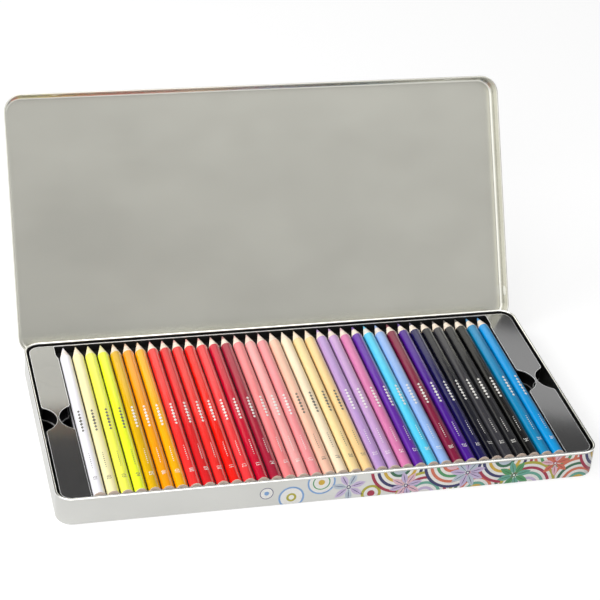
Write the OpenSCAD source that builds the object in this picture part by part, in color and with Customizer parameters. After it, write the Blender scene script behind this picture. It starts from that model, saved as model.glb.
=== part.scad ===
// Hinged tinplate pencil tin with two stacked trays of colored pencils.
// Lengths are in millimetres. The origin is the centre of the base's bottom face,
// +X runs along the row of pencils, +Y goes to the hinges and +Z is up.
// The lid is drawn open at its stop, the trays and pencils lie in place.

/* [Pencils] */
// Pencils side by side in each tray
pencil_count = 36; // [12:1:36]
// Diameter of a pencil
pencil_d = 8.1; // [6.8:0.1:9]
// Length of a sharpened pencil
pencil_len = 175; // [150:1:190]
// Length of the sharpened cone, point included
cone_len = 14.5; // [11:0.5:24]
// Diameter of the colored core
core_d = 3.3; // [2.2:0.1:4.2]
// Diameter of the blunt end of the point
point_d = 0.5; // [0.3:0.1:1]
// Glue line between the core and the wood
glue_gap = 0.03; // [0.02:0.01:0.05]
// Gap between two neighbouring pencils
pencil_gap = 0.9; // [0.7:0.05:2]

/* [Trays] */
// Thickness of the tray's plastic sheet
tray_sheet = 0.7; // [0.5:0.05:0.9]
// Height of a tray from its foot to its end panels
tray_h = 9.9; // [9.4:0.1:14]
// Depth of the pencils' middle below the end panels
axis_drop = 1.8; // [1.2:0.1:3]
// Width of the flat panel at each end of a tray
end_panel_w = 19.5; // [18:0.5:30]
// Gap between the end panel and the first pencil
end_gap = 1.2; // [1:0.1:3]
// Gap between a pencil and its groove
groove_gap = 0.15; // [0.1:0.01:0.3]
// Gap before and behind the pencils in a tray
length_gap = 0.4; // [0.3:0.1:1.5]
// How much wider the trough behind the points is than the grooves, at each side
trough_flare = 1.3; // [0.5:0.1:4]
// Length over which the trough widens
trough_taper = 4; // [2:0.5:8]
// How far the trough starts before the sharpened cones
trough_lead = 1; // [0.5:0.1:3]
// Radius of the finger notches
notch_r = 14.8; // [12:0.2:16]
// Bridge of panel left between two finger notches
notch_bridge = 1.4; // [1:0.1:4]
// Radius that rounds the corners of the notches
notch_fillet = 3; // [1:0.5:4]

/* [Base] */
// Thickness of the tinplate
sheet = 0.5; // [0.3:0.05:0.6]
// Outer radius of the upright corners
corner_r = 11; // [10:0.5:18]
// Outer radius of the edge between floor and walls
bottom_r = 3; // [2:0.1:3.3]
// Diameter of the rolled rim
rim_d = 1.6; // [1.2:0.1:2.2]
// How far the rolled rim stands out of the wall
rim_out = 0.3; // [0:0.05:0.4]
// Height of the rim above the upper tray's end panels
rim_over = 1.7; // [1:0.1:3]
// Gap between the rim and the trays
tray_gap = 2; // [1.4:0.1:3]

/* [Lid] */
// Gap between the base's wall and the lid's skirt
lid_gap = 0.8; // [0.6:0.05:1]
// Gap between the upper pencils and the closed lid
headroom = 0.85; // [0.5:0.05:4]
// Height of the lid, skirt included
skirt_h = 11.4; // [9:0.1:13]
// Outer radius of the edge between panel and skirt
top_r = 3; // [1.5:0.1:4]
// Diameter of the rolled edge at the lid's mouth
lid_bead_d = 1.3; // [1:0.1:2]
// How far the lid opens from closed
open_angle = 120; // [95:1:125]
// Diameter of a friction dimple
dimple_d = 8; // [6:0.5:9]
// Depth of a friction dimple
dimple_depth = 0.35; // [0.2:0.05:0.35]
// Place of the front dimples, from the lid's side
front_dimple_x = 37; // [25:1:80]
// Place of the side dimples, from the lid's rear
side_dimple_y = 22; // [20:1:60]

/* [Hinges] */
// Distance of each hinge from the middle
hinge_x = 105; // [60:1:130]
// Width of a hinge
hinge_w = 30; // [20:1:45]
// Diameter of the wire pin
pin_d = 1.4; // [1:0.1:1.8]
// Running gap around the pin, on the radius
pin_gap = 0.05; // [0.03:0.01:0.1]
// Wall of a knuckle
knuckle_wall = 0.55; // [0.4:0.05:0.8]
// Gap between two neighbouring knuckles
knuckle_gap = 0.2; // [0.1:0.05:0.4]
// Height of a hinge leaf
leaf_h = 6; // [4:0.5:6.5]
// How far the pin stands out at each end
pin_end = 0.6; // [0.2:0.1:1.5]
// How far the stop heel stands out of its knuckle
heel_out = 1.1; // [1:0.1:1.5]
// Gap between the knuckles and the walls and leaves beside them
knuckle_room = 0.2; // [0.15:0.05:0.5]
// Gap between the knuckles and the lid's mouth above them
mouth_room = 0.3; // [0.2:0.05:1]

/* [Hidden] */
$fn = 64;
// Overlap of two shapes that become one solid
eps = 0.01;
// How far a cutting shape reaches past what it cuts
overcut = 1;
pencil_r = pencil_d / 2;
pitch = pencil_d + pencil_gap;
row_half = (pencil_count - 1) / 2 * pitch;
groove_r = pencil_r + groove_gap;
barrel_len = pencil_len - cone_len;
core_bore_d = core_d + 2 * glue_gap;
// The wood of the cone ends where the cone is as thin as the bore for the core
wood_cone_len = cone_len * (pencil_d - core_bore_d) / (pencil_d - point_d);

well_x = row_half + pencil_r + end_gap;
well_y = pencil_len / 2 + length_gap;
trough_x = well_x + trough_flare;
trough_y = pencil_len / 2 - cone_len - trough_lead;
tray_half_x = well_x + end_panel_w;
tray_half_y = well_y + tray_sheet;
// The trays stand on the flat of the floor, clear of the curve of the bottom edge
foot_gap = 0.2;
tray_inset = max(rim_d - rim_out + tray_gap, bottom_r + foot_gap);

body_w = 2 * (tray_half_x + tray_inset);
body_d = 2 * (tray_half_y + tray_inset);
body_h = sheet + 2 * tray_h + rim_over;
tray_r = corner_r - tray_inset;
lower_foot = sheet;
upper_foot = sheet + tray_h;
upper_axis_z = upper_foot + tray_h - axis_drop;

lid_out = lid_gap + sheet;
lid_w = body_w + 2 * lid_out;
lid_d = body_d + 2 * lid_out;
lid_r = corner_r + lid_out;
lid_top = max(body_h, upper_axis_z + pencil_r) + headroom + sheet;
mouth_z = lid_top - skirt_h;

bore_r = pin_d / 2 + pin_gap;
knuckle_r = bore_r + knuckle_wall;
hinge_y = body_d / 2 + knuckle_r + knuckle_room;
hinge_z = mouth_z - knuckle_r - mouth_room;
leaf_clear = knuckle_r + knuckle_room;
knuckle_count = 5;
knuckle_step = hinge_w / knuckle_count;
// The stop heel meets the base leaf just before the lid reaches its full angle
heel_r = knuckle_r + heel_out;
heel_half = 0.3;
heel_gap = 0.06;
heel_reach = hinge_y - body_d / 2 - sheet - heel_gap;
heel_angle = open_angle + acos(heel_reach / heel_r) + asin(heel_half / heel_r) - 180;

// Colors of the upper row from left to right, by eye
row_colors = [
    "white", "lemonchiffon", "khaki", "yellow", "goldenrod", "orange",
    "orange", "tomato", "crimson", "tomato", "orangered", "tomato",
    "crimson", "brown", "lightcoral", "lightpink", "pink", "peachpuff",
    "antiquewhite", "palegoldenrod", "navajowhite", "plum", "thistle", "palevioletred",
    "rebeccapurple", "skyblue", "lightsteelblue", "maroon", "indigo", "midnightblue",
    "black", "dimgray", "darkslategray", "black", "steelblue", "deepskyblue"
];
lower_groups = 9;
group_size = ceil(pencil_count / lower_groups);

function two_digits(n) = n < 10 ? str("0", n) : str(n);
function pencil_name(n) = str("pencil_", two_digits(n));
function group_name(g) = str("lower_pencils_", g);
function pencil_x(n) = (n - 1) * pitch - row_half;
function row_color(n) = row_colors[(n - 1) % len(row_colors)];

// Sweeps a flat profile around a rounded rectangle. The profile's x counts
// from the centre of the corner's arc, so x = r is the rectangle's outline.
module around(w, d, r) {
    for (k = [0 : 3]) {
        side_x = (k == 0 || k == 3) ? 1 : -1;
        side_y = k < 2 ? 1 : -1;
        translate([side_x * (w / 2 - r), side_y * (d / 2 - r), 0])
            rotate([0, 0, 90 * k]) rotate_extrude(angle = 90) children();
    }
    for (turn = [0, 180]) rotate([0, 0, turn]) {
        translate([w / 2 - r, d / 2 - r, 0])
            rotate([90, 0, 0]) linear_extrude(d - 2 * r) children();
        translate([-w / 2 + r, d / 2 - r, 0])
            rotate([90, 0, 90]) linear_extrude(w - 2 * r) children();
    }
}

module rounded_plate(w, d, r, h) {
    translate([-w / 2 + r, -d / 2, 0]) cube([w - 2 * r, d, h]);
    translate([-w / 2, -d / 2 + r, 0]) cube([w, d - 2 * r, h]);
    for (x = [-1, 1], y = [-1, 1])
        translate([x * (w / 2 - r), y * (d / 2 - r), 0]) cylinder(r = r, h = h);
}

// A quarter of a bent sheet, from the level of its floor to its upright wall
module bent_edge(r, t) {
    intersection() {
        difference() {
            circle(r);
            circle(r - t);
        }
        translate([0, -r]) square(r);
    }
}

// Places the lid's pieces, drawn closed, at the open stop
module opened() {
    translate([0, hinge_y, hinge_z]) rotate([-open_angle, 0, 0])
        translate([0, -hinge_y, -hinge_z]) children();
}

// Base pan

module base_profile() {
    square([corner_r - bottom_r, sheet]);
    translate([corner_r - bottom_r, bottom_r]) bent_edge(bottom_r, sheet);
    translate([corner_r - sheet, bottom_r])
        square([sheet, body_h - rim_d / 2 - bottom_r]);
    translate([corner_r + rim_out - rim_d / 2, body_h - rim_d / 2]) circle(rim_d / 2);
}

module base_shell() {
    flat_w = body_w - 2 * corner_r;
    flat_d = body_d - 2 * corner_r;
    color("gainsboro") {
        around(body_w, body_d, corner_r) base_profile();
        translate([-flat_w / 2, -flat_d / 2, 0]) cube([flat_w, flat_d, sheet]);
    }
}

// Lid

module lid_profile() {
    translate([0, lid_top - sheet]) square([lid_r - top_r, sheet]);
    translate([lid_r - top_r, lid_top - top_r]) mirror([0, 1]) bent_edge(top_r, sheet);
    translate([lid_r - sheet, mouth_z + lid_bead_d / 2])
        square([sheet, skirt_h - lid_bead_d / 2 - top_r]);
    translate([lid_r - sheet + lid_bead_d / 2, mouth_z + lid_bead_d / 2])
        circle(lid_bead_d / 2);
}

// Runs children at each dimple, with z pointing into the lid
module at_dimples() {
    dimple_z = (mouth_z + lid_top) / 2;
    for (s = [-1, 1]) {
        translate([s * (lid_w / 2 - front_dimple_x), -lid_d / 2 + sheet, dimple_z])
            rotate([-90, 0, 0]) children();
        translate([s * (lid_w / 2 - sheet), lid_d / 2 - side_dimple_y, dimple_z])
            rotate([0, -90 * s, 0]) children();
    }
}

module dimple_cap() {
    cap_r = (pow(dimple_d / 2, 2) + pow(dimple_depth, 2)) / (2 * dimple_depth);
    intersection() {
        translate([0, 0, dimple_depth - cap_r]) sphere(cap_r);
        cylinder(d = dimple_d + overcut, h = overcut);
    }
}

module lid_shell() {
    flat_w = lid_w - 2 * lid_r;
    flat_d = lid_d - 2 * lid_r;
    leaf_room = 1;
    notch_w = hinge_w + 2 * leaf_room;
    color("silver") opened() difference() {
        union() {
            around(lid_w, lid_d, lid_r) lid_profile();
            translate([-flat_w / 2, -flat_d / 2, lid_top - sheet])
                cube([flat_w, flat_d, sheet]);
            at_dimples() dimple_cap();
        }
        // The dimples are pressed in, so they leave a dish outside
        at_dimples() translate([0, 0, -sheet]) dimple_cap();
        // The rolled edge is pressed flat where a hinge leaf lies
        for (s = [-1, 1])
            translate([s * hinge_x - notch_w / 2, lid_d / 2, mouth_z - overcut])
                cube([notch_w, lid_bead_d, lid_bead_d + 2 * overcut]);
    }
}

// Hinges

module knuckle(k) {
    x = -hinge_w / 2 + k * knuckle_step + knuckle_gap / 2;
    translate([x, 0, 0]) rotate([0, 90, 0])
        cylinder(r = knuckle_r, h = knuckle_step - knuckle_gap);
}

module knuckle_tab(k, y, z, h) {
    x = -hinge_w / 2 + k * knuckle_step + knuckle_gap / 2;
    translate([x, y, z]) cube([knuckle_step - knuckle_gap, sheet, h]);
}

// Free end of a lid knuckle, which stops the lid on the base leaf
module heel(k) {
    x = -hinge_w / 2 + k * knuckle_step + knuckle_gap / 2;
    heel_len = sqrt(pow(heel_r, 2) - pow(heel_half, 2));
    rotate([heel_angle, 0, 0]) translate([x, 0, -heel_half])
        cube([knuckle_step - knuckle_gap, heel_len, 2 * heel_half]);
}

module pin_bore() {
    translate([-hinge_w / 2 - overcut, 0, 0]) rotate([0, 90, 0])
        cylinder(r = bore_r, h = hinge_w + 2 * overcut);
}

module at_hinge(side) {
    translate([side * hinge_x, hinge_y, hinge_z]) children();
}

module hinge_base_leaf(side) {
    wall_y = body_d / 2 - hinge_y;
    color("darkgray") at_hinge(side) difference() {
        union() {
            translate([-hinge_w / 2, wall_y, -leaf_clear - leaf_h])
                cube([hinge_w, sheet, leaf_h]);
            for (k = [0 : 2 : knuckle_count - 1]) {
                knuckle(k);
                knuckle_tab(k, wall_y, -leaf_clear - eps, leaf_clear + eps);
            }
        }
        pin_bore();
    }
}

module hinge_lid_leaf(side) {
    skirt_y = lid_d / 2 - hinge_y;
    tab_z = bore_r + knuckle_room;
    color("darkgray") opened() at_hinge(side) difference() {
        union() {
            translate([-hinge_w / 2, skirt_y, leaf_clear]) cube([hinge_w, sheet, leaf_h]);
            for (k = [1 : 2 : knuckle_count - 1]) {
                knuckle(k);
                knuckle_tab(k, skirt_y, tab_z, leaf_clear - tab_z + eps);
                heel(k);
            }
        }
        pin_bore();
    }
}

module hinge_pin(side) {
    pin_len = hinge_w + 2 * pin_end;
    color("dimgray") at_hinge(side) translate([-pin_len / 2, 0, 0])
        rotate([0, 90, 0]) cylinder(d = pin_d, h = pin_len);
}

// Trays

module pencil_circles(r) {
    for (n = [1 : pencil_count])
        translate([pencil_x(n), tray_h - axis_drop]) circle(r);
}

// Section across the grooves, with the ledge and wall beside the end pencils
module groove_section() {
    axis_h = tray_h - axis_drop;
    difference() {
        intersection() {
            pencil_circles(groove_r + tray_sheet);
            translate([-well_x, 0]) square([2 * well_x, axis_h]);
        }
        pencil_circles(groove_r);
    }
    for (s = [0, 1]) mirror([s, 0]) {
        translate([row_half + groove_r, axis_h - tray_sheet])
            square([well_x + tray_sheet - row_half - groove_r, tray_sheet]);
        translate([well_x, axis_h - tray_sheet])
            square([tray_sheet, axis_drop + tray_sheet]);
    }
}

// Wall where the grooves end and the trough behind the points begins
module ridge_end_section() {
    axis_h = tray_h - axis_drop;
    half_w = well_x + tray_sheet;
    difference() {
        translate([-half_w, axis_h - groove_r - tray_sheet])
            square([2 * half_w, groove_r + tray_sheet]);
        pencil_circles(groove_r);
    }
}

// Outline of the trough, which widens behind the grooves. It starts at start_y
// and is wider than the trough's inside by extra, at each side.
module trough_outline(extra, start_y) {
    narrow_x = well_x + extra;
    wide_x = trough_x + extra;
    polygon([
        [narrow_x, start_y], [narrow_x, trough_y],
        [wide_x, trough_y + trough_taper], [wide_x, well_y],
        [-wide_x, well_y], [-wide_x, trough_y + trough_taper],
        [-narrow_x, trough_y], [-narrow_x, start_y]
    ]);
}

module trough() {
    floor_h = tray_h - axis_drop - groove_r;
    start_y = trough_y - tray_sheet;
    translate([0, 0, floor_h - tray_sheet]) {
        linear_extrude(tray_sheet) trough_outline(tray_sheet, start_y);
        linear_extrude(tray_h - floor_h + tray_sheet) difference() {
            trough_outline(tray_sheet, start_y);
            trough_outline(0, start_y - overcut);
        }
    }
}

// Opening of the panel over the pencils and over the points
module well_opening() {
    trough_outline(0, -well_y);
}

// Finger notch that bites from an edge at x = 0 towards -X. It also clears a
// strip of the given width on the other side of that edge. The fillets at its
// corners cross its arc by a hair, so that their meeting points are sharp.
module finger_notch(strip) {
    crossing = 0.03;
    depth = (end_panel_w - notch_bridge) / 2;
    middle_x = notch_r - depth;
    run = notch_fillet + middle_x;
    reach = notch_r + notch_fillet - crossing;
    fillet_y = sqrt(pow(reach, 2) - pow(run, 2));
    share = (notch_r - crossing / 2) / reach;
    intersection() {
        translate([middle_x, 0]) circle(notch_r);
        translate([-notch_r, -notch_r]) square([notch_r, 2 * notch_r]);
    }
    translate([-eps, -fillet_y]) square([strip + eps, 2 * fillet_y]);
    for (s = [0, 1]) mirror([0, s]) difference() {
        polygon([
            [0, 0], [0, fillet_y], [-notch_fillet, fillet_y],
            [middle_x - run * share, fillet_y * share]
        ]);
        translate([-notch_fillet, fillet_y]) circle(notch_fillet);
    }
}

module tray(foot_z) {
    tray_w = 2 * tray_half_x;
    tray_d = 2 * tray_half_y;
    strip = well_x - row_half - groove_r - tray_sheet;
    color([0.09, 0.09, 0.1]) translate([0, 0, foot_z]) difference() {
        union() {
            around(tray_w, tray_d, tray_r)
                translate([tray_r - tray_sheet, 0]) square([tray_sheet, tray_h]);
            difference() {
                translate([0, 0, tray_h - tray_sheet])
                    rounded_plate(tray_w, tray_d, tray_r, tray_sheet);
                translate([0, 0, tray_h - 2 * tray_sheet])
                    linear_extrude(3 * tray_sheet) well_opening();
            }
            translate([0, trough_y, 0]) rotate([90, 0, 0])
                linear_extrude(trough_y + well_y + eps) groove_section();
            translate([0, trough_y, 0]) rotate([90, 0, 0])
                linear_extrude(tray_sheet) ridge_end_section();
            trough();
        }
        for (s = [0, 1]) mirror([s, 0, 0]) translate([0, 0, -overcut])
            linear_extrude(tray_h + 2 * overcut) {
                translate([tray_half_x, 0]) finger_notch(overcut);
                translate([well_x, 0]) mirror([1, 0]) finger_notch(strip);
            }
    }
}

// Pencils

module pencil(n, axis_z) {
    core_cone_len = cone_len * (core_d - point_d) / (pencil_d - point_d);
    translate([pencil_x(n), -pencil_len / 2, axis_z]) rotate([-90, 0, 0]) {
        color(row_color(n)) difference() {
            union() {
                cylinder(d = pencil_d, h = barrel_len);
                translate([0, 0, barrel_len])
                    cylinder(d1 = pencil_d, d2 = core_bore_d, h = wood_cone_len);
            }
            translate([0, 0, -overcut])
                cylinder(d = core_bore_d, h = pencil_len + 2 * overcut);
        }
        color(row_color(n)) {
            cylinder(d = core_d, h = pencil_len - core_cone_len);
            translate([0, 0, pencil_len - core_cone_len])
                cylinder(d1 = core_d, d2 = point_d, h = core_cone_len);
        }
    }
}

module upper_pencil(n) {
    pencil(n, upper_axis_z);
}

module lower_pencils(g) {
    first = (g - 1) * group_size + 1;
    last = min(g * group_size, pencil_count);
    for (n = [first : last]) pencil(n, upper_axis_z - tray_h);
}

base_shell();
lid_shell();
tray(upper_foot);  // tray_upper
tray(lower_foot);  // tray_lower
hinge_base_leaf(-1);  // hinge_base_leaf_left
hinge_base_leaf(1);  // hinge_base_leaf_right
hinge_lid_leaf(-1);  // hinge_lid_leaf_left
hinge_lid_leaf(1);  // hinge_lid_leaf_right
hinge_pin(-1);  // hinge_pin_left
hinge_pin(1);  // hinge_pin_right
for (n = [1 : pencil_count])
    upper_pencil(n);
for (g = [1 : lower_groups])
    lower_pencils(g);
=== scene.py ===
"""Looks of the colored pencil tin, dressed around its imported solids.

Lengths are in metres and the axes are the tin's own: +X along the row of pencils,
+Y towards the hinges, +Z up, with z = 0 under the base.
"""
import math

import bmesh
import bpy
from mathutils import Matrix, Vector


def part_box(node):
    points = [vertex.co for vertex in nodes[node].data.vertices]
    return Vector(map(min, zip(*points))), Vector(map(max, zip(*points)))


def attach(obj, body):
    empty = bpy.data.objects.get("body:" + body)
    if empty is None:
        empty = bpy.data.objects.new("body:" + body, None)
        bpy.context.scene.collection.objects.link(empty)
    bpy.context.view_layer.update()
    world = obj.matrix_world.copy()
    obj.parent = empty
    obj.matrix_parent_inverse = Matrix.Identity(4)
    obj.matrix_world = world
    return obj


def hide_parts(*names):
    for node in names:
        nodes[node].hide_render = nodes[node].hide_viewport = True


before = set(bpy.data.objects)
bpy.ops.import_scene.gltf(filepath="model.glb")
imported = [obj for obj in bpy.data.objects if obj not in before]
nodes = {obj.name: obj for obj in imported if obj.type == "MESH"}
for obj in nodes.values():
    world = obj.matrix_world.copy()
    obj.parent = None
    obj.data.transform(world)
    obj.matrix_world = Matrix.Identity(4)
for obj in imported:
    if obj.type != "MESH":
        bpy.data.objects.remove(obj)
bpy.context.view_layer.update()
MM = 0.001

# Camera, as the photograph's view was worked out
CAMERA_PLACE = Vector((-314.2, -1030.4, 762.9)) * MM
CAMERA_AZIMUTH = 16.48
CAMERA_DOWN = 31.60
CAMERA_ROLL = -4.88
CAMERA_LENS = 111.97

# Base
BASE_LOW, BASE_HIGH = (Vector(corner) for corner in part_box("base_shell"))
BASE_CORNER_R = 11.0 * MM
BASE_BOTTOM_R = 3.0 * MM
RIM_D = 1.6 * MM
RIM_OUT = 0.3 * MM
RIM_CROWN = 0.75 * MM

# Lid, closed, and the hinge axis that it swings about
LID_SIZE = Vector((373.7, 186.4)) * MM
LID_SHEET = 0.5 * MM
HINGE_AXIS = Vector((0, 93.4, 10.9)) * MM
OPEN_ANGLE = 120
DIMPLE_Z = 18.2 * MM
DIMPLE_R, DIMPLE_DEPTH = 3.9 * MM, 0.35 * MM
DIMPLE_LIFT = 0.03 * MM
FRONT_DIMPLE_X = 37 * MM
SIDE_DIMPLE_Y = 22 * MM

# Pencils
PENCIL_COUNT = 36
PENCIL_R = 4.05 * MM
CONE_LEN = 14.5 * MM
CORE_R = 1.65 * MM
TIP_R = 0.25 * MM
LACQUER = 0.04 * MM
PENCIL_SIDES = 48
LOWER_GROUPS = 9
GROUP_SIZE = PENCIL_COUNT // LOWER_GROUPS
TRAY_STEP = Vector(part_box("tray_upper")[0]).z - Vector(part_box("tray_lower")[0]).z

# Print on a barrel: a number, a row of lozenges and a row of dots, from the flat end
BARREL_PRINT_LIFT = 0.03 * MM
NUMBER_AT, NUMBER_SIZE = 15 * MM, 2.9 * MM
LOZENGES_AT, LOZENGE_COUNT, LOZENGE_STEP = 79 * MM, 7, 3.7 * MM
LOZENGE_LONG_HALF, LOZENGE_SHORT_HALF = 1.9 * MM, 1.25 * MM
DOTS_AT, DOT_COUNT, DOT_STEP = 34 * MM, 8, 2.2 * MM
DOT_LONG_HALF, DOT_SHORT_HALF = 0.75 * MM, 0.5 * MM
FONT_CAP_HEIGHT = 0.7
DARK_INK_FROM = 0.55

# Colors of the row from left to right
ROW_COLORS = """
    F6F4FA F3EAB4 F3F55A EAF62E DCAC00 F59C00 F9AE00 F0302E D81E22
    E82C28 EC180C EE3A3E C80A30 A41836 F28688 F8A8A6 F29498 F6C4AA
    F8E4C4 F8DCA0 F4D094 BC98D2 C69ECE D87AAC 6024A0 52CFF2 92B4E8
    80103A 4A1090 140C50 080818 343339 1C1C20 060606 0488BC 0098DC
""".split()


def linear(code):
    """Scene-linear color of a hexadecimal sRGB code."""
    parts = [int(code[i:i + 2], 16) / 255 for i in (0, 2, 4)]
    return tuple(c / 12.92 if c <= 0.04045 else ((c + 0.055) / 1.055) ** 2.4 for c in parts)


def lightness(code):
    """Luminance of a hexadecimal sRGB code, from 0 to 1."""
    r, g, b = linear(code)
    return 0.2126 * r + 0.7152 * g + 0.0722 * b


def shade(color, share):
    """A color times a share, darker below 1."""
    return tuple(c * share for c in color)


def blend(first, second, share):
    """A color that goes from first to second by share."""
    return tuple(a + (b - a) * share for a, b in zip(first, second))


def share_between(value, bottom, top):
    """0 below bottom, 1 above top, straight between them."""
    return min(1, max(0, (value - bottom) / (top - bottom)))


# Materials


def new_material(name, color, roughness, metallic=0.0):
    """A material with its tree and its shader, with even values on the shader's own sockets."""
    material = bpy.data.materials.new(name)
    material.use_nodes = True
    tree = material.node_tree
    shader = tree.nodes["Principled BSDF"]
    shader.inputs["Base Color"].default_value = (*color, 1)
    shader.inputs["Roughness"].default_value = roughness
    shader.inputs["Metallic"].default_value = metallic
    return material, tree, shader


def place(tree, scale):
    """Object coordinates stretched by scale, in cycles per metre."""
    coordinates = tree.nodes.new("ShaderNodeTexCoord")
    mapping = tree.nodes.new("ShaderNodeMapping")
    mapping.inputs["Scale"].default_value = scale
    tree.links.new(coordinates.outputs["Object"], mapping.inputs["Vector"])
    return mapping.outputs["Vector"]


def noise(tree, scale, detail=3.0, roughness=0.5):
    """Noise whose grain follows scale, in cycles per metre along each axis."""
    texture = tree.nodes.new("ShaderNodeTexNoise")
    texture.inputs["Scale"].default_value = 1.0
    texture.inputs["Detail"].default_value = detail
    texture.inputs["Roughness"].default_value = roughness
    tree.links.new(place(tree, scale), texture.inputs["Vector"])
    return texture.outputs["Fac"]


def spread(tree, factor, low, high):
    """Maps the middle of a noise to values between low and high."""
    node = tree.nodes.new("ShaderNodeMapRange")
    node.inputs["From Min"].default_value = 0.3
    node.inputs["From Max"].default_value = 0.7
    node.inputs["To Min"].default_value = low
    node.inputs["To Max"].default_value = high
    tree.links.new(factor, node.inputs["Value"])
    return node.outputs["Result"]


def tint(tree, factor, first, second):
    """Mixes two colors, each an output or a plain color, by a factor."""
    node = tree.nodes.new("ShaderNodeMix")
    node.data_type = "RGBA"
    tree.links.new(factor, node.inputs["Factor"])
    for name, color in (("A", first), ("B", second)):
        if isinstance(color, tuple):
            node.inputs[name].default_value = (*color, 1)
        else:
            tree.links.new(color, node.inputs[name])
    return node.outputs["Result"]


def bump(tree, shader, height, depth, before=None):
    """Raises the surface by depth metres where height is 1."""
    node = tree.nodes.new("ShaderNodeBump")
    node.inputs["Distance"].default_value = depth
    node.inputs["Strength"].default_value = 1.0
    tree.links.new(height, node.inputs["Height"])
    if before:
        tree.links.new(before, node.inputs["Normal"])
    tree.links.new(node.outputs["Normal"], shader.inputs["Normal"])
    return node.outputs["Normal"]


def mix_values(tree, factor, first, second):
    """Mixes two values, each an output or a plain number, by a factor."""
    node = tree.nodes.new("ShaderNodeMix")
    tree.links.new(factor, node.inputs["Factor"])
    for name, value in (("A", first), ("B", second)):
        if isinstance(value, (int, float)):
            node.inputs[name].default_value = value
        else:
            tree.links.new(value, node.inputs[name])
    return node.outputs["Result"]


def ramp(tree, factor, start, end, low, high):
    """Goes smoothly from low to high as factor goes from start to end."""
    node = tree.nodes.new("ShaderNodeMapRange")
    node.interpolation_type = "SMOOTHSTEP"
    for name, value in (("From Min", start), ("From Max", end), ("To Min", low), ("To Max", high)):
        node.inputs[name].default_value = value
    tree.links.new(factor, node.inputs["Value"])
    return node.outputs["Result"]


def object_height(tree):
    """Height in the object's own frame."""
    coordinates = tree.nodes.new("ShaderNodeTexCoord")
    parts = tree.nodes.new("ShaderNodeSeparateXYZ")
    tree.links.new(coordinates.outputs["Object"], parts.inputs["Vector"])
    return parts.outputs["Z"]


def product(tree, first, second):
    """One output times another."""
    node = tree.nodes.new("ShaderNodeMath")
    node.operation = "MULTIPLY"
    tree.links.new(first, node.inputs[0])
    tree.links.new(second, node.inputs[1])
    return node.outputs[0]


CROWN_BLUR = 0.2 * MM
RIM_HIGHLIGHT_COLOR, RIM_HIGHLIGHT_ROUGHNESS = "FCFCF8", 0.2


def tinplate(name, code, roughness, grain, crown=None):
    """Steel sheet under a satin varnish, with faint rolling lines along X and a fine pebble.

    Above the height crown, the rolled rim is painted near white and made glossier: a painted
    highlight along the rim.
    """
    color = linear(code)
    material, tree, shader = new_material(name, color, roughness, metallic=1.0)
    clouds = noise(tree, (14, 22, 22), detail=2)
    sheet = tint(tree, spread(tree, clouds, 0, 1), shade(color, 0.95), shade(color, 1.04))
    rolling = noise(tree, (40, 1500, 1500), detail=2)
    satin = spread(tree, rolling, roughness - 0.006, roughness + 0.008)
    if crown:
        # Painted highlight: the rim's crown is painted near white, with a lower roughness.
        rim_highlight = ramp(tree, object_height(tree), crown, crown + CROWN_BLUR, 0.0, 1.0)
        sheet = tint(tree, rim_highlight, sheet, linear(RIM_HIGHLIGHT_COLOR))
        satin = mix_values(tree, rim_highlight, satin, RIM_HIGHLIGHT_ROUGHNESS)
    tree.links.new(sheet, shader.inputs["Base Color"])
    tree.links.new(satin, shader.inputs["Roughness"])
    lines = bump(tree, shader, rolling, 0.0003 * MM)
    bump(tree, shader, noise(tree, (1300, 1300, 1300), detail=1), grain, before=lines)
    return material


def edge_highlight_mask(tree, radius):
    """1 along the sharp edges, where a rounded normal turns away from the true one."""
    rounded = tree.nodes.new("ShaderNodeBevel")
    rounded.samples = 8
    rounded.inputs["Radius"].default_value = radius
    geometry = tree.nodes.new("ShaderNodeNewGeometry")
    turned_by = tree.nodes.new("ShaderNodeVectorMath")
    turned_by.operation = "DOT_PRODUCT"
    tree.links.new(rounded.outputs["Normal"], turned_by.inputs[0])
    tree.links.new(geometry.outputs["True Normal"], turned_by.inputs[1])
    return ramp(tree, turned_by.outputs["Value"], 0.995, 0.94, 0.0, 1.0)


def tray_plastic(name, top):
    """Black formed sheet, glossy and hammered at its panel height, dull in the grooves, with a
    painted highlight in light grey along the panel's sharp edges.
    """
    material, tree, shader = new_material(name, (0.010, 0.010, 0.011), 0.26)
    shader.inputs["Coat IOR"].default_value = 3.0
    shader.inputs["Coat Roughness"].default_value = 0.10
    groove_roughness = 0.7
    dull_below, glossy_above = top - 0.9 * MM, top - 0.3 * MM
    panel = ramp(tree, object_height(tree), dull_below, glossy_above, 0.0, 1.0)
    tree.links.new(panel, shader.inputs["Coat Weight"])
    shader.inputs["Specular IOR Level"].default_value = 0.4
    patches = noise(tree, (25, 25, 25), detail=3)
    rough = mix_values(tree, panel, groove_roughness, spread(tree, patches, 0.20, 0.32))
    tree.links.new(rough, shader.inputs["Roughness"])
    dust = noise(tree, (900, 900, 900), detail=4)
    low, high = (0.002, 0.002, 0.002), (0.020, 0.019, 0.020)
    grain = tint(tree, product(tree, spread(tree, dust, 0.2, 1), panel), low, high)
    # Painted highlight: light grey color along the sharp edges of the panel.
    outline = product(tree, edge_highlight_mask(tree, 0.8 * MM), panel)
    edges = tint(tree, outline, grain, (0.85, 0.85, 0.85))
    tree.links.new(edges, shader.inputs["Base Color"])
    cells = tree.nodes.new("ShaderNodeTexVoronoi")
    cells.feature = "SMOOTH_F1"
    cells.inputs["Scale"].default_value = 1.0
    tree.links.new(place(tree, (700, 950, 700)), cells.inputs["Vector"])
    bump(tree, shader, cells.outputs["Distance"], 0.05 * MM)
    return material


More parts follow.
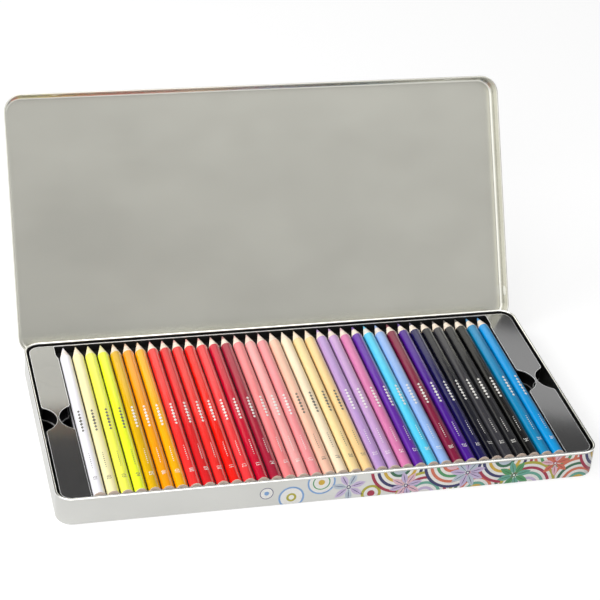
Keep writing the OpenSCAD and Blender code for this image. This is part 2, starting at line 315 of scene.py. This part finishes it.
def lacquer(name, code):
    """Glossy dipped lacquer with a slight flow along the barrel."""
    color = linear(code)
    material, tree, shader = new_material(name, color, 0.22)
    shader.inputs["Specular IOR Level"].default_value = 0.3
    shader.inputs["Coat Weight"].default_value = 0.4
    shader.inputs["Coat Roughness"].default_value = 0.08
    flow = noise(tree, (500, 30, 500), detail=2)
    tree.links.new(spread(tree, flow, 0.16, 0.28), shader.inputs["Roughness"])
    depth = noise(tree, (220, 18, 220), detail=3)
    tree.links.new(tint(tree, spread(tree, depth, 0, 1), shade(color, 0.93), shade(color, 1.03)),
                   shader.inputs["Base Color"])
    bump(tree, shader, noise(tree, (420, 60, 420), detail=1), 0.01 * MM)
    return material


MOST_STAIN, END_STAIN = 0.4, 0.3
STAIN_FROM, STAIN_FULL = 0.25, 0.95
MOST_BLOOM_AND_HIGHLIGHT, COOL_BLOOM_AND_HIGHLIGHT = 0.62, 0.12
BLOOM_AND_HIGHLIGHT_FROM, BLOOM_AND_HIGHLIGHT_FULL = 0.04, 0.12


def pale_stain(code):
    """How far a pale lacquer stains the sharpened wood."""
    return MOST_STAIN * share_between(lightness(code), STAIN_FROM, STAIN_FULL)


def pencil_wood(name, code, stain):
    """Pale cedar with its grain along the pencil, stained by a color."""
    light = blend(linear("FFF6EA"), linear(code), stain)
    dark = blend(linear("EED8C0"), linear(code), stain)
    material, tree, shader = new_material(name, light, 0.55)
    grain = noise(tree, (1500, 45, 1500), detail=4, roughness=0.6)
    tree.links.new(tint(tree, spread(tree, grain, 0, 1), light, dark), shader.inputs["Base Color"])
    bump(tree, shader, grain, 0.03 * MM)
    return material


def pencil_core(name, code):
    """Waxy core, a little rough where the sharpener cut it, mixed towards pale cream: wax bloom
    and a painted highlight, strongest on the light warm colors.
    """
    color = linear(code)
    # Painted highlight with wax bloom: the point is mixed towards pale cream, most on light warm
    # colors.
    dust = COOL_BLOOM_AND_HIGHLIGHT
    if color[0] > color[2]:
        dust = MOST_BLOOM_AND_HIGHLIGHT * share_between(lightness(code), BLOOM_AND_HIGHLIGHT_FROM, BLOOM_AND_HIGHLIGHT_FULL)
    color = blend(color, linear("F6E8DC"), dust)
    material, tree, shader = new_material(name, color, 0.45)
    cut = noise(tree, (1200, 2500, 1200), detail=2)
    tree.links.new(tint(tree, spread(tree, cut, 0, 1), shade(color, 0.85), color),
                   shader.inputs["Base Color"])
    bump(tree, shader, cut, 0.02 * MM)
    return material


def print_ink(name, code, metallic):
    """Foil-stamped figures, worn through in small spots."""
    color = linear(code)
    material, tree, shader = new_material(name, color, 0.35, metallic)
    wear = noise(tree, (2600, 2600, 2600), detail=2)
    tree.links.new(tint(tree, spread(tree, wear, 0, 1), shade(color, 0.8), color),
                   shader.inputs["Base Color"])
    return material


def steel(name, code, roughness):
    """Zinc-plated steel with a brushed grain along X."""
    color = linear(code)
    material, tree, shader = new_material(name, color, roughness, metallic=1.0)
    brushed = noise(tree, (90, 4000, 4000), detail=3)
    tree.links.new(spread(tree, brushed, roughness - 0.08, roughness + 0.1),
                   shader.inputs["Roughness"])
    tree.links.new(tint(tree, spread(tree, brushed, 0, 1), shade(color, 0.85), color),
                   shader.inputs["Base Color"])
    bump(tree, shader, brushed, 0.008 * MM)
    return material


def wear_node(node, material):
    """Gives a CAD node a better material."""
    for slot in nodes[node].material_slots:
        slot.material = material


# Mesh helpers


def new_object(name, mesh, materials, body):
    """A piece that rides on a body, with the given materials."""
    piece = bpy.data.objects.new(name, mesh)
    bpy.context.scene.collection.objects.link(piece)
    for material in materials:
        mesh.materials.append(material)
    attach(piece, body)
    return piece


def turned(shape, rings, middle_x, middle_z, first_index):
    """Adds rings, turned about Y, to a bmesh.

    A ring is its y, its radius and the band that follows it, counted from first_index.
    """
    loops = []
    for y, radius, _ in rings:
        if radius == 0:
            loops.append([shape.verts.new((middle_x, y, middle_z))] * PENCIL_SIDES)
            continue
        loops.append([
            shape.verts.new((
                middle_x + radius * math.sin(math.tau * k / PENCIL_SIDES),
                y,
                middle_z + radius * math.cos(math.tau * k / PENCIL_SIDES),
            ))
            for k in range(PENCIL_SIDES)
        ])
    for (_, _, band), first, second in zip(rings, loops, loops[1:]):
        for k in range(PENCIL_SIDES):
            corners = [first[k - 1], first[k], second[k], second[k - 1]]
            face = shape.faces.new(list(dict.fromkeys(corners)))
            face.material_index = first_index + band
            face.smooth = True


# Pencils

LACQUER_BAND, WOOD_BAND, CORE_BAND, INK_BAND, END_BAND = range(5)
BANDS = 5


def pencil_rings(back, tip):
    """Profile of a sharpened pencil from its flat end at back to its point at tip."""
    shoulder = tip - CONE_LEN
    slope = CONE_LEN / (PENCIL_R - TIP_R)
    core_start = shoulder + slope * (PENCIL_R - CORE_R)
    recess = 0.15 * MM
    edge = 0.18 * MM
    bare_r = PENCIL_R - LACQUER
    rings = [
        (back + recess, 0, CORE_BAND),
        (back + recess, CORE_R - recess / 2, CORE_BAND),
        (back + recess / 2, CORE_R, END_BAND),
        (back, CORE_R + recess, END_BAND),
        (back, PENCIL_R - edge, END_BAND),
        (back + edge / 3, PENCIL_R - edge / 3, LACQUER_BAND),
        (back + edge, PENCIL_R, LACQUER_BAND),
        (back + 2 * edge, PENCIL_R, LACQUER_BAND),
    ]
    barrel_steps = 12
    for k in range(1, barrel_steps):
        y = back + edge + (shoulder - back - edge) * k / barrel_steps
        rings.append((y, PENCIL_R, LACQUER_BAND))
    rings += [
        (shoulder - 2 * edge, PENCIL_R, LACQUER_BAND),
        (shoulder - LACQUER, PENCIL_R, LACQUER_BAND),
        (shoulder, bare_r, WOOD_BAND),
        (shoulder + edge, bare_r - edge / slope, WOOD_BAND),
    ]
    cone_steps = 8
    for k in range(1, cone_steps):
        y = shoulder + (core_start - shoulder) * k / cone_steps
        rings.append((y, PENCIL_R - (y - shoulder) / slope, WOOD_BAND))
    rings += [
        (core_start, CORE_R, CORE_BAND),
        (core_start + slope * 0.5 * CORE_R, 0.5 * CORE_R, CORE_BAND),
        (tip - 0.6 * TIP_R, 1.1 * TIP_R, CORE_BAND),
        (tip - 0.2 * TIP_R, 0.75 * TIP_R, CORE_BAND),
        (tip, 0, CORE_BAND),
    ]
    return rings


def figures(number, size):
    """Flat bmesh of a two-digit number, centred, with its base line along X."""
    curve = bpy.data.curves.new("figures", "FONT")
    curve.body = f"{number:02d}"
    curve.size = size / FONT_CAP_HEIGHT
    curve.align_x = "CENTER"
    curve.align_y = "CENTER"
    text = bpy.data.objects.new("figures", curve)
    mesh = bpy.data.meshes.new_from_object(text)
    flat = bmesh.new()
    flat.from_mesh(mesh)
    bpy.data.objects.remove(text)
    bpy.data.curves.remove(curve)
    bpy.data.meshes.remove(mesh)
    return flat


def lozenges(count, step, long_half, short_half):
    """Flat bmesh of a row of lozenges along X that shrink towards both ends."""
    flat = bmesh.new()
    for k in range(count):
        from_middle = k - (count - 1) / 2
        share = 1 - 0.5 * abs(from_middle) / count
        a, b = long_half * share, short_half * share
        x = from_middle * step
        corners = ((x - a, 0, 0), (x, -b, 0), (x + a, 0, 0), (x, b, 0))
        flat.faces.new([flat.verts.new(corner) for corner in corners])
    return flat


def cut_flat(flat, axis, places):
    """Cuts a flat bmesh across X (axis 0) or Y (axis 1) at several places."""
    normal = [0, 0, 0]
    normal[axis] = 1
    for value in places:
        at = [0, 0, 0]
        at[axis] = value
        bmesh.ops.bisect_plane(
            flat, geom=flat.verts[:] + flat.edges[:] + flat.faces[:], plane_co=at, plane_no=normal)


def lay(shape, flat, place_point, material_index):
    """Adds a flat bmesh to another, each point moved by place_point(x, y), and frees it."""
    bmesh.ops.triangulate(flat, faces=flat.faces[:])
    moved = {v: shape.verts.new(place_point(v.co.x, v.co.y)) for v in flat.verts}
    for f in flat.faces:
        face = shape.faces.new([moved[v] for v in f.verts])
        face.material_index = material_index
    flat.free()


def wrap_barrel(shape, flat, size, middle, axis_z, turn, material_index):
    """Wraps a flat bmesh on a barrel, read from the point to the end."""
    cut_step = 0.18 * MM
    cuts = int(size / cut_step / 2)
    cut_flat(flat, 1, [k * cut_step for k in range(-cuts, cuts + 1)])
    radius = PENCIL_R + BARREL_PRINT_LIFT

    def on_barrel(x, y):
        angle = turn + y / PENCIL_R
        return (middle.x + radius * math.sin(angle), middle.y - x,
                axis_z + radius * math.cos(angle))

    lay(shape, flat, on_barrel, material_index)


def pencil_place(n):
    """Axis of the pencil at place n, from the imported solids: x, y range and z."""
    low, high = (Vector(corner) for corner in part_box(f"pencil_{n:02d}"))
    return (low.x + high.x) / 2, low.y, high.y, (low.z + high.z) / 2


def add_pencil(shape, n, drop, first_index):
    """Adds the pencil at place n, lowered by drop, with its print."""
    x, back, tip, z = pencil_place(n)
    z -= drop
    turned(shape, pencil_rings(back, tip), x, z, first_index)
    turn = -0.12 + 0.16 * math.sin(5.1 * n)
    lozenge_row = lozenges(LOZENGE_COUNT, LOZENGE_STEP, LOZENGE_LONG_HALF, LOZENGE_SHORT_HALF)
    dot_row = lozenges(DOT_COUNT, DOT_STEP, DOT_LONG_HALF, DOT_SHORT_HALF)
    for flat, size, at in (
        (figures(n, NUMBER_SIZE), NUMBER_SIZE, NUMBER_AT),
        (lozenge_row, 2 * LOZENGE_SHORT_HALF, LOZENGES_AT),
        (dot_row, 2 * DOT_SHORT_HALF, DOTS_AT),
    ):
        wrap_barrel(shape, flat, size, Vector((x, back + at)), z, turn, first_index + INK_BAND)


def finish_mesh(shape, name, angle=40):
    """Mesh of a bmesh, which is freed, with its sharp edges marked."""
    mesh = bpy.data.meshes.new(name)
    shape.to_mesh(mesh)
    shape.free()
    mesh.set_sharp_from_angle(angle=math.radians(angle))
    return mesh


silver_ink = print_ink("silver_ink", "F2F0EA", 0.0)
dark_ink = print_ink("dark_ink", "6A675F", 0.0)
end_grain = pencil_wood("end_grain_look", "B07C6C", END_STAIN)
pencil_looks = []
for n, code in enumerate(ROW_COLORS, start=1):
    ink = dark_ink if lightness(code) > DARK_INK_FROM else silver_ink
    pencil_looks.append([
        lacquer(f"lacquer_{n:02d}_look", code),
        pencil_wood(f"wood_{n:02d}_look", code, pale_stain(code)),
        pencil_core(f"core_{n:02d}_look", code),
        ink,
        end_grain,
    ])

for n in range(1, PENCIL_COUNT + 1):
    shape = bmesh.new()
    add_pencil(shape, n, 0, 0)
    mesh = finish_mesh(shape, f"pencil_{n:02d}_look")
    piece = new_object(
        f"pencil_{n:02d}_look", mesh, pencil_looks[n - 1],
        f"pencil_{n:02d}_body")
    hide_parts(f"pencil_{n:02d}")

for group in range(LOWER_GROUPS):
    shape = bmesh.new()
    materials = []
    for k in range(GROUP_SIZE):
        n = group * GROUP_SIZE + k + 1
        add_pencil(shape, n, TRAY_STEP, BANDS * k)
        materials += pencil_looks[n - 1]
    name = f"lower_pencils_{group + 1}"
    piece = new_object(
        f"{name}_look", finish_mesh(shape, f"{name}_look"), materials,
        "lower_tray")
    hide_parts(name)

# Print on the front wall, whose places are along and up it from its start

PRINT_START = -55 * MM
WALL_STRAIGHT = BASE_HIGH.x - RIM_OUT - BASE_CORNER_R - PRINT_START
PRINT_END = WALL_STRAIGHT + 0.75 * BASE_CORNER_R
PRINT_LOW, PRINT_TOP = -1.25 * BASE_BOTTOM_R, BASE_HIGH.z - RIM_D - BASE_BOTTOM_R - 0.1 * MM
INK_STEP = 0.006 * MM
INKS = {
    "sky": "7FA6D6", "olive": "B7AF3A", "lilac": "CDBBDD", "crimson": "A92746", "navy": "2C2C62",
    "mustard": "D9B23E", "white": "F4F2EE", "green": "4F9B62", "pink": "EBBFCB", "teal": "67AB98",
    "coral": "DB7558", "forest": "2F6A49", "mist": "BFCAD6",
}
INK_NAMES = list(INKS)


def on_front_wall(lift):
    """Places a point, given along and up the printed wall, at lift metres above it."""
    def place_point(along, up):
        inset, z = 0, BASE_BOTTOM_R + up
        if up < 0:
            under = -up / BASE_BOTTOM_R
            inset = (BASE_BOTTOM_R + lift) * (1 - math.cos(under))
            z = BASE_BOTTOM_R - (BASE_BOTTOM_R + lift) * math.sin(under)
        round_by = max(0, along - WALL_STRAIGHT) / BASE_CORNER_R
        reach = BASE_CORNER_R + lift - inset
        return (PRINT_START + min(along, WALL_STRAIGHT) + reach * math.sin(round_by),
                BASE_LOW.y + RIM_OUT + BASE_CORNER_R - reach * math.cos(round_by), z)
    return place_point


def print_outline(shape, corners, layer, ink):
    """Prints a filled outline, trimmed to the printed field, above the layers under it."""
    flat = bmesh.new()
    flat.faces.new([flat.verts.new((x, y, 0)) for x, y in corners])
    for at, normal in (((0, 0, 0), (-1, 0, 0)), ((PRINT_END, 0, 0), (1, 0, 0)),
                       ((0, PRINT_LOW, 0), (0, -1, 0)), ((0, PRINT_TOP, 0), (0, 1, 0))):
        bmesh.ops.bisect_plane(
            flat, geom=flat.verts[:] + flat.edges[:] + flat.faces[:], plane_co=at,
            plane_no=normal, clear_outer=True)
    cuts = 8
    bend = PRINT_END - WALL_STRAIGHT
    cut_flat(flat, 1, [PRINT_LOW * k / cuts for k in range(cuts)])
    cut_flat(flat, 0, [WALL_STRAIGHT + bend * k / cuts for k in range(cuts)])
    lay(shape, flat, on_front_wall((layer + 1) * INK_STEP), INK_NAMES.index(ink))


def round_outline(x, y, radius):
    """A disc's outline."""
    sides = 72
    turns = [math.tau * k / sides for k in range(sides)]
    return [(x + radius * math.cos(turn), y + radius * math.sin(turn)) for turn in turns]


def petal_outline(x, y, turn, start, length, width):
    """A leaf-shaped outline that points away from a middle."""
    steps = 14
    points = [(start + length * k / steps, width / 2 * math.sin(math.pi * k / steps))
              for k in range(steps + 1)]
    points += [(a, -b) for a, b in reversed(points[1:-1])]
    c, s = math.cos(turn), math.sin(turn)
    return [(x + a * c - b * s, y + a * s + b * c) for a, b in points]


def print_rings(shape, x, y, layer, *bands):
    """Nested discs, each given by its radius and its ink."""
    for k, (radius, ink) in enumerate(bands):
        print_outline(shape, round_outline(x * MM, y * MM, radius * MM), layer + k, ink)


def print_flower(shape, x, y, layer, count, length, inks):
    """A ring of leaves with a vein each and a small eye."""
    for k in range(count):
        turn = math.tau * (k + 0.3) / count
        outline = petal_outline(x * MM, y * MM, turn, 1.2 * MM, length * MM, length * 0.42 * MM)
        vein = petal_outline(x * MM, y * MM, turn, 1.6 * MM, length * 0.82 * MM, 0.5 * MM)
        print_outline(shape, outline, layer + k % 2, inks[k % 2])
        print_outline(shape, vein, layer + 2, inks[2])
    print_rings(shape, x, y, layer + 3, (1.5, inks[2]), (0.8, "white"))


printed = bmesh.new()
# A loose start on bare tin
print_rings(printed, 7, 9, 0, (4.6, "navy"), (4.1, "white"), (1.6, "sky"))
print_rings(printed, 24, 4, 0, (8.8, "sky"), (7.5, "white"), (3.4, "olive"), (1.9, "white"))
print_rings(printed, 44, 14, 0, (9.6, "sky"), (8.4, "white"), (6.0, "green"), (5.2, "white"),
            (2.2, "mustard"))
print_flower(printed, 63, 8, 0, 7, 11.0, ("lilac", "mist", "navy"))
print_rings(printed, 79, 1, 0, (7.0, "olive"), (5.0, "white"), (2.6, "crimson"))
# Overlapping scales that fill the rest of the field
SCALE_SETS = (
    ("crimson", "white", "navy", "white", "mustard", "white", "forest", "mist"),
    ("olive", "white", "crimson", "white", "teal", "white", "lilac", "white"),
    ("navy", "white", "coral", "white", "green", "white", "coral", "pink"),
    ("coral", "white", "forest", "white", "coral", "white", "teal", "mustard"),
)
SCALE_START, SCALE_STEP, SCALE_COUNT = 98, 18.5, 9
SCALE_UPPER, SCALE_LOWER = 20, -5
SCALE_R, RING_STEP, SCALE_LAYERS = 20.5, 2.15, 9
for k in range(SCALE_COUNT):
    colors = SCALE_SETS[k % len(SCALE_SETS)]
    bands = [(SCALE_R - RING_STEP * i, ink) for i, ink in enumerate(colors)]
    print_rings(printed, SCALE_START + SCALE_STEP * k, SCALE_LOWER if k % 2 else SCALE_UPPER,
                SCALE_LAYERS * (k % 3), *bands)
# Flowers over the scales
TOP_LAYER = 3 * SCALE_LAYERS
print_flower(printed, 103, 5, TOP_LAYER, 8, 10.5, ("lilac", "pink", "navy"))
print_flower(printed, 146, 11, TOP_LAYER, 9, 11.5, ("lilac", "mist", "navy"))
print_flower(printed, 180, 5, TOP_LAYER, 8, 11.0, ("teal", "green", "forest"))
print_flower(printed, 209, 12, TOP_LAYER, 7, 9.5, ("coral", "pink", "crimson"))
new_object(
    "front_print", finish_mesh(printed, "front_print"),
    [print_ink(f"print_{name}_look", code, 0.0) for name, code in INKS.items()],
    "base")

# Polished dimples of the lid, in a lighter steel than the lid for a painted glint


def add_dimple(shape, foot, inwards):
    """Adds a shallow cap on the skirt of the closed lid, raised towards inwards, then opens it."""
    rings, sides = 6, 40
    swing = Matrix.Rotation(math.radians(-OPEN_ANGLE), 4, "X")
    cap_r = (DIMPLE_R ** 2 + DIMPLE_DEPTH ** 2) / (2 * DIMPLE_DEPTH)
    across = inwards.cross(Vector((0, 0, 1)))
    loops = []
    for i in range(rings + 1):
        radius = DIMPLE_R * i / rings
        rise = math.sqrt(cap_r ** 2 - radius ** 2) - (cap_r - DIMPLE_DEPTH) + DIMPLE_LIFT
        loop = []
        for k in range(sides if i else 1):
            turn = math.tau * k / sides
            point = foot + inwards * rise + radius * (
                across * math.cos(turn) + Vector((0, 0, 1)) * math.sin(turn))
            loop.append(shape.verts.new(HINGE_AXIS + swing @ (point - HINGE_AXIS)))
        loops.append(loop if i else loop * sides)
    for first, second in zip(loops, loops[1:]):
        for k in range(sides):
            corners = [first[k - 1], second[k - 1], second[k], first[k]]
            shape.faces.new(list(dict.fromkeys(corners))).smooth = True


dimples = bmesh.new()
half_x, half_y = LID_SIZE.x / 2, LID_SIZE.y / 2
for side in (-1, 1):
    add_dimple(dimples, Vector((side * (half_x - FRONT_DIMPLE_X), LID_SHEET - half_y, DIMPLE_Z)),
               Vector((0, 1, 0)))
    add_dimple(dimples, Vector((side * (half_x - LID_SHEET), half_y - SIDE_DIMPLE_Y, DIMPLE_Z)),
               Vector((-side, 0, 0)))
bmesh.ops.recalc_face_normals(dimples, faces=dimples.faces[:])
# Painted highlight: the caps are a lighter steel than the lid's tinplate, so they glint.
new_object(
    "lid_dimples", finish_mesh(dimples, "lid_dimples"), [steel("dimple_glint_look", "F2F2F0", 0.14)],
    "lid")

# Finish of the CAD nodes that stay

for name in ("tray_upper", "tray_lower"):
    panel_top = max(v.co.z for v in nodes[name].data.vertices)
    wear_node(name, tray_plastic(f"{name}_look", panel_top))
wear_node("base_shell", tinplate(
    "tinplate_base_look", "CBCBC7", 0.34, 0.012 * MM, crown=BASE_HIGH.z - RIM_CROWN))
wear_node("lid_shell", tinplate("tinplate_lid_look", "D6D5CC", 0.26, 0.007 * MM))
hinge_look = steel("hinge_steel_look", "A9A9A6", 0.35)
pin_look = steel("pin_steel_look", "8E8E8C", 0.3)
for side in ("left", "right"):
    wear_node(f"hinge_base_leaf_{side}", hinge_look)
    wear_node(f"hinge_lid_leaf_{side}", hinge_look)
    wear_node(f"hinge_pin_{side}", pin_look)


# Studio


def largest(tree, first, *others):
    """The largest of several outputs."""
    result = first
    for other in others:
        node = tree.nodes.new("ShaderNodeMath")
        node.operation = "MAXIMUM"
        tree.links.new(result, node.inputs[0])
        tree.links.new(other, node.inputs[1])
        result = node.outputs[0]
    return result


def mix_shaders(tree, factor, first, second):
    """Mixes two shaders by a factor."""
    node = tree.nodes.new("ShaderNodeMixShader")
    tree.links.new(factor, node.inputs["Fac"])
    tree.links.new(first, node.inputs[1])
    tree.links.new(second, node.inputs[2])
    return node.outputs["Shader"]


def white_world():
    """White where it is seen, a studio dome in mirrored rays and a soft fill on the object."""
    fill = 0.22
    front_left, front_right, rear_low, rear_high = 0.41, 0.62, 0.12, 0.55
    front_high = 2.4
    front_horizon, rear_horizon = 1.0, 0.40
    band_low, band_high = 0.16, 0.30
    zenith_left, zenith_right, key_side = 2.5, 0.6, 1.7
    world = bpy.data.worlds.new("studio")
    bpy.context.scene.world = world
    world.use_nodes = True
    tree = world.node_tree
    path = tree.nodes.new("ShaderNodeLightPath")
    direction = tree.nodes.new("ShaderNodeSeparateXYZ")
    coordinates = tree.nodes.new("ShaderNodeTexCoord")
    tree.links.new(coordinates.outputs["Generated"], direction.inputs["Vector"])
    x, y, z = (direction.outputs[axis] for axis in "XYZ")
    front = ramp(tree, x, 0.05, 0.30, front_left, front_right)
    front = mix_values(tree, ramp(tree, z, 0.58, 0.76, 0.0, 1.0), front, front_high)
    front = mix_values(tree, ramp(tree, x, -0.28, -0.08, 1.0, 0.0), front, key_side)
    behind = ramp(tree, y, -0.1, 0.35, 0.0, 1.0)
    rear = ramp(tree, z, 0.60, 0.76, rear_low, rear_high)
    dome = mix_values(tree, behind, front, rear)
    zenith = ramp(tree, x, 0.14, 0.36, zenith_left, zenith_right)
    dome = mix_values(tree, ramp(tree, z, 0.80, 0.94, 0.0, 1.0), dome, zenith)
    horizon = ramp(tree, y, -0.1, 0.35, front_horizon, rear_horizon)
    level = mix_values(tree, ramp(tree, z, band_low, band_high, 0.0, 1.0), horizon, dome)
    lights = []
    for strength in (1.0, fill):
        node = tree.nodes.new("ShaderNodeBackground")
        node.inputs["Strength"].default_value = strength
        node.inputs["Color"].default_value = (1, 1, 1, 1)
        lights.append(node)
    mirrored = tree.nodes["Background"]
    tree.links.new(level, mirrored.inputs["Strength"])
    mirrored.inputs["Color"].default_value = (1.0, 1.0, 0.99, 1)
    seen = largest(tree, path.outputs["Is Camera Ray"], path.outputs["Is Transmission Ray"])
    shader = mix_shaders(tree, path.outputs["Is Glossy Ray"], lights[1].outputs["Background"],
                         mirrored.outputs["Background"])
    shader = mix_shaders(tree, seen, shader, lights[0].outputs["Background"])
    tree.links.new(shader, tree.nodes["World Output"].inputs["Surface"])


def white_floor():
    """A pale floor that reads white where it is seen and keeps the shadow."""
    size = 8.0
    mesh = bpy.data.meshes.new("floor")
    half = size / 2
    mesh.from_pydata(
        [(-half, -half, 0), (half, -half, 0), (half, half, 0), (-half, half, 0)], [],
        [(0, 1, 2, 3)])
    floor = bpy.data.objects.new("floor", mesh)
    bpy.context.scene.collection.objects.link(floor)
    material = bpy.data.materials.new("floor_white")
    material.use_nodes = True
    tree = material.node_tree
    tree.nodes.remove(tree.nodes["Principled BSDF"])
    plain, faint = (tree.nodes.new("ShaderNodeBsdfDiffuse") for _ in range(2))
    plain.inputs["Color"].default_value = (0.8, 0.8, 0.8, 1)
    faint.inputs["Color"].default_value = (0.3, 0.3, 0.3, 1)
    glow = tree.nodes.new("ShaderNodeEmission")
    glow.inputs["Strength"].default_value = 0.82
    both = tree.nodes.new("ShaderNodeAddShader")
    path = tree.nodes.new("ShaderNodeLightPath")
    seen = largest(tree, path.outputs["Is Camera Ray"], path.outputs["Is Glossy Ray"],
                   path.outputs["Is Transmission Ray"])
    tree.links.new(faint.outputs["BSDF"], both.inputs[0])
    tree.links.new(glow.outputs["Emission"], both.inputs[1])
    shader = mix_shaders(tree, seen, plain.outputs["BSDF"], both.outputs["Shader"])
    tree.links.new(shader, tree.nodes["Material Output"].inputs["Surface"])
    mesh.materials.append(material)


def softbox(name, at, towards, size, power, mirrored=True):
    """A soft rectangular lamp at a place, aimed at another, never seen as such."""
    lamp = bpy.data.lights.new(name, "AREA")
    lamp.shape = "RECTANGLE"
    lamp.size, lamp.size_y = size
    lamp.energy = power
    holder = bpy.data.objects.new(name, lamp)
    bpy.context.scene.collection.objects.link(holder)
    holder.location = at
    aim = Vector(towards) - Vector(at)
    holder.rotation_euler = aim.to_track_quat("-Z", "Y").to_euler()
    holder.visible_camera = False
    holder.visible_glossy = mirrored


def photo_camera():
    """Camera at the photograph's place, with its turn, tilt and roll."""
    turn, down, roll = (math.radians(a) for a in (CAMERA_AZIMUTH, CAMERA_DOWN, CAMERA_ROLL))
    forward = Vector((
        math.sin(turn) * math.cos(down), math.cos(turn) * math.cos(down), -math.sin(down)
    ))
    level = forward.cross(Vector((0, 0, 1))).normalized()
    below = forward.cross(level)
    right = level * math.cos(roll) + below * math.sin(roll)
    up = right.cross(forward)
    data = bpy.data.cameras.new("camera")
    data.lens = CAMERA_LENS
    data.sensor_width = 36.0
    data.clip_end = 20.0
    camera = bpy.data.objects.new("camera", data)
    bpy.context.scene.collection.objects.link(camera)
    rotation = Matrix((right, up, -forward)).transposed()
    camera.matrix_world = Matrix.Translation(CAMERA_PLACE) @ rotation.to_4x4()
    bpy.context.scene.camera = camera


white_world()
white_floor()
softbox("key", (-0.90, 0.10, 0.85), (0, 0.02, 0), (0.9, 0.6), 11.5, mirrored=False)
softbox("front_fill", (-0.9, -1.2, 0.9), (0, 0, 0.05), (0.8, 0.8), 15.5, mirrored=False)
softbox("right_card", (0.316, 0.320, 0.243), (0.172, 0, 0.02), (0.14, 0.075), 0.024)
photo_camera()
bpy.context.scene.view_settings.view_transform = "Standard"
